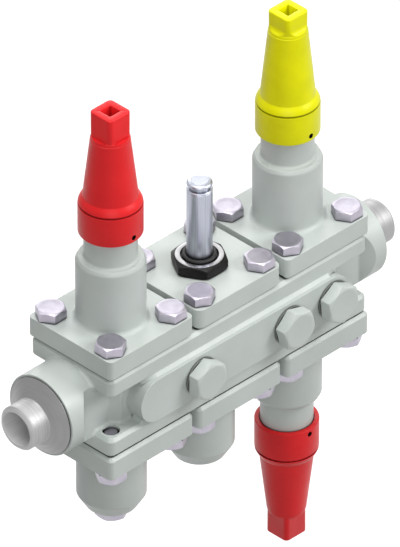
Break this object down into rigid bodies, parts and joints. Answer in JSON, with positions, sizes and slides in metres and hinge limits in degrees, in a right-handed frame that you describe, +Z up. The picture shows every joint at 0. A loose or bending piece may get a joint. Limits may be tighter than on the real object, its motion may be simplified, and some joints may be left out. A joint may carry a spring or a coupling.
{
  "type": "valve station",
  "caption": "Welded-in refrigerant valve station: housing with stop, regulating, solenoid, filter and check modules under square bolted covers, capped spindles.",
  "frame": {"origin": "centre of the inlet pipe end's weld face", "axes": "+X from inlet to outlet along the pipe axis, +Z up along the upper valves' spindles"},
  "size_m": [0.289, 0.0818, 0.3594],
  "materials": {
    "green_steel": "satin coating",
    "pipe_steel": "turned bright",
    "zinc_steel": "zinc plated",
    "turned_steel": "turned",
    "tube_steel": "drawn stainless",
    "black_nut": "black oxide",
    "washer_metal": "dull",
    "red_cap": "gloss coating",
    "yellow_cap": "gloss coating",
    "gasket_fibre": "matt",
    "seal_rubber": "satin",
    "ptfe": "satin"
  },
  "bodies": {
    "root": {"housing": "green_steel", "inlet_pipe_end": "pipe_steel", "outlet_pipe_end": "pipe_steel", "service_port_plugs": "green_steel", "service_port_washers": "washer_metal", "inlet_stop_bonnet": "green_steel", "inlet_stop_bonnet_gasket": "gasket_fibre", "inlet_stop_bonnet_bolts": "zinc_steel", "inlet_stop_packing": "ptfe", "inlet_stop_gland_nut": "turned_steel", "regulating_bonnet": "green_steel", "regulating_bonnet_gasket": "gasket_fibre", "regulating_bonnet_bolts": "zinc_steel", "regulating_packing": "ptfe", "regulating_gland_nut": "turned_steel", "outlet_stop_bonnet": "green_steel", "outlet_stop_bonnet_gasket": "gasket_fibre", "outlet_stop_bonnet_bolts": "zinc_steel", "outlet_stop_packing": "ptfe", "outlet_stop_gland_nut": "turned_steel", "filter_cup": "green_steel", "filter_cup_gasket": "gasket_fibre", "filter_cup_bolts": "zinc_steel", "filter_screen": "turned_steel", "filter_screen_upper_ring": "turned_steel", "filter_screen_lower_ring": "turned_steel", "filter_drain_plug": "zinc_steel", "filter_drain_washer": "washer_metal", "check_cup": "green_steel", "check_cup_gasket": "gasket_fibre", "check_cup_bolts": "zinc_steel", "check_spring": "turned_steel", "solenoid_cover": "green_steel", "solenoid_cover_gasket": "gasket_fibre", "solenoid_cover_bolts": "zinc_steel", "armature_tube": "tube_steel", "fixed_core": "tube_steel", "tube_nut": "black_nut", "tube_ring_seal": "seal_rubber", "servo_spring": "turned_steel", "armature_spring": "turned_steel"},
    "inlet_stop_cone_body": {"inlet_stop_cone": "turned_steel", "inlet_stop_seat_ring": "ptfe"},
    "inlet_stop_spindle_body": {"inlet_stop_spindle": "turned_steel"},
    "inlet_stop_cap_gasket_body": {"inlet_stop_cap_gasket": "gasket_fibre"},
    "inlet_stop_cap_body": {"inlet_stop_cap": "red_cap"},
    "regulating_cone_body": {"regulating_cone": "turned_steel", "regulating_seat_ring": "ptfe"},
    "regulating_spindle_body": {"regulating_spindle": "turned_steel"},
    "regulating_cap_gasket_body": {"regulating_cap_gasket": "gasket_fibre"},
    "regulating_cap_body": {"regulating_cap": "yellow_cap"},
    "outlet_stop_cone_body": {"outlet_stop_cone": "turned_steel", "outlet_stop_seat_ring": "ptfe"},
    "outlet_stop_spindle_body": {"outlet_stop_spindle": "turned_steel"},
    "outlet_stop_cap_gasket_body": {"outlet_stop_cap_gasket": "gasket_fibre"},
    "outlet_stop_cap_body": {"outlet_stop_cap": "red_cap"},
    "check_cone_body": {"check_cone": "turned_steel"},
    "servo_piston_body": {"servo_piston": "turned_steel", "servo_piston_ring": "ptfe"},
    "armature_body": {"armature": "turned_steel"}
  },
  "joints": [
    {"name": "inlet_stop_cone_lift", "type": "slide", "parent": "root", "child": "inlet_stop_cone_body", "axis": [0, 0, 1], "range_m": [0, 0.01]},
    {"name": "inlet_stop_spindle_turn", "type": "hinge", "parent": "inlet_stop_cone_body", "child": "inlet_stop_spindle_body", "pos_m": [0.0745, 0, 0.1], "axis": [0, 0, 1], "range_deg": [0, 1800]},
    {"name": "inlet_stop_cap_lift", "type": "slide", "parent": "root", "child": "inlet_stop_cap_gasket_body", "axis": [0, 0, 1], "range_m": [0, 0.012]},
    {"name": "inlet_stop_cap_turn", "type": "hinge", "parent": "inlet_stop_cap_gasket_body", "child": "inlet_stop_cap_body", "pos_m": [0.0745, 0, 0.12], "axis": [0, 0, 1], "range_deg": [0, 2880]},
    {"name": "regulating_cone_lift", "type": "slide", "parent": "root", "child": "regulating_cone_body", "axis": [0, 0, 1], "range_m": [0, 0.009]},
    {"name": "regulating_spindle_turn", "type": "hinge", "parent": "regulating_cone_body", "child": "regulating_spindle_body", "pos_m": [0.2145, 0, 0.1], "axis": [0, 0, 1], "range_deg": [0, 2160]},
    {"name": "regulating_cap_lift", "type": "slide", "parent": "root", "child": "regulating_cap_gasket_body", "axis": [0, 0, 1], "range_m": [0, 0.012]},
    {"name": "regulating_cap_turn", "type": "hinge", "parent": "regulating_cap_gasket_body", "child": "regulating_cap_body", "pos_m": [0.2145, 0, 0.12], "axis": [0, 0, 1], "range_deg": [0, 2880]},
    {"name": "outlet_stop_cone_lift", "type": "slide", "parent": "root", "child": "outlet_stop_cone_body", "axis": [0, 0, -1], "range_m": [0, 0.01]},
    {"name": "outlet_stop_spindle_turn", "type": "hinge", "parent": "outlet_stop_cone_body", "child": "outlet_stop_spindle_body", "pos_m": [0.2145, 0, -0.1], "axis": [0, 0, -1], "range_deg": [0, 1800]},
    {"name": "outlet_stop_cap_lift", "type": "slide", "parent": "root", "child": "outlet_stop_cap_gasket_body", "axis": [0, 0, -1], "range_m": [0, 0.012]},
    {"name": "outlet_stop_cap_turn", "type": "hinge", "parent": "outlet_stop_cap_gasket_body", "child": "outlet_stop_cap_body", "pos_m": [0.2145, 0, -0.12], "axis": [0, 0, -1], "range_deg": [0, 2880]},
    {"name": "check_cone_slide", "type": "slide", "parent": "root", "child": "check_cone_body", "axis": [0, 0, -1], "range_m": [0, 0.006], "stiffness_N_per_m": 150, "springref_m": -0.012, "deforming": ["check_spring"]},
    {"name": "servo_piston_slide", "type": "slide", "parent": "root", "child": "servo_piston_body", "axis": [0, 0, 1], "range_m": [0, 0.004], "stiffness_N_per_m": 400, "springref_m": -0.004, "deforming": ["servo_spring"]},
    {"name": "armature_slide", "type": "slide", "parent": "root", "child": "armature_body", "axis": [0, 0, 1], "range_m": [0, 0.003], "stiffness_N_per_m": 300, "springref_m": -0.006, "deforming": ["armature_spring"]}
  ],
  "couplings": [
    {"joint": "inlet_stop_spindle_turn", "follows": "inlet_stop_cone_lift", "rad_per_m": 3141.6},
    {"joint": "inlet_stop_cap_turn", "follows": "inlet_stop_cap_lift", "rad_per_m": 4188.8},
    {"joint": "regulating_spindle_turn", "follows": "regulating_cone_lift", "rad_per_m": 4188.8},
    {"joint": "regulating_cap_turn", "follows": "regulating_cap_lift", "rad_per_m": 4188.8},
    {"joint": "outlet_stop_spindle_turn", "follows": "outlet_stop_cone_lift", "rad_per_m": 3141.6},
    {"joint": "outlet_stop_cap_turn", "follows": "outlet_stop_cap_lift", "rad_per_m": 4188.8}
  ]
}
